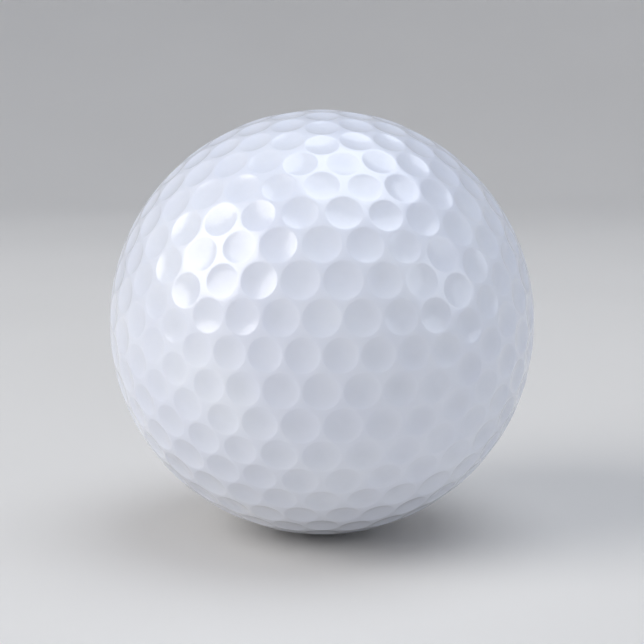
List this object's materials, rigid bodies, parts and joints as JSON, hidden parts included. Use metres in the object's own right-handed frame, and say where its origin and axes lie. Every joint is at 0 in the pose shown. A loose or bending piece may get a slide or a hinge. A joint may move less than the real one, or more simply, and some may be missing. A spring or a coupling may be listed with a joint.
{
  "type": "golf ball",
  "caption": "White dimpled golf ball: a two-layer rubber core inside a stiff mantle and a thin glossy urethane cover.",
  "frame": {"origin": "centre of the ball", "axes": "+Z away from the tee; X, Y and Z each leave the ball through a land midway between two dimples"},
  "size_m": [0.0426, 0.0426, 0.0426],
  "materials": {
    "inner_core": "matte",
    "outer_core": "matte",
    "mantle": "satin",
    "cover": "gloss paint under a clear coat"
  },
  "bodies": {
    "root": {"inner_core": "inner_core", "outer_core": "outer_core", "mantle": "mantle", "cover": "cover"}
  },
  "joints": []
}
